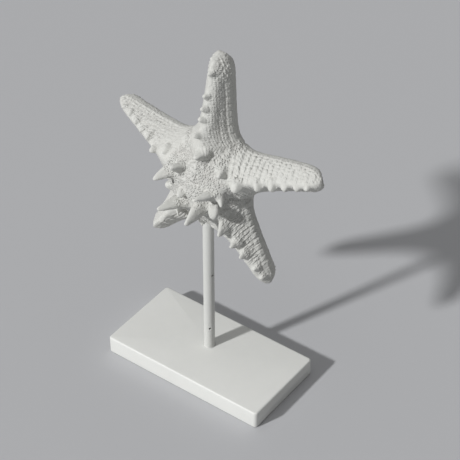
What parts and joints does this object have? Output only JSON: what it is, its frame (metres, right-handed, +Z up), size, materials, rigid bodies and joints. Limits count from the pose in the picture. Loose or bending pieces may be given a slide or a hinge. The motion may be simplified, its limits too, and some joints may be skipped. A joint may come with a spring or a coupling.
{
  "type": "dried starfish on a stand",
  "caption": "Dried horned sea star with blunt conical horns, held upright on a thin round post above a flat rectangular base, all in matt white.",
  "frame": {"origin": "centre of the base's underside, on the surface that the object stands on", "axes": "+Z up, +X along the base's long side, -Y the side that the front of the star faces"},
  "size_m": [0.1998, 0.078, 0.2921],
  "materials": {
    "star": "matt off-white, chalky, with beaded and granular skin",
    "post": "smooth satin white paint",
    "base": "satin white paint with softened edges"
  },
  "bodies": {
    "root": {"sea_star": "star", "post": "post", "base": "base"}
  },
  "joints": []
}
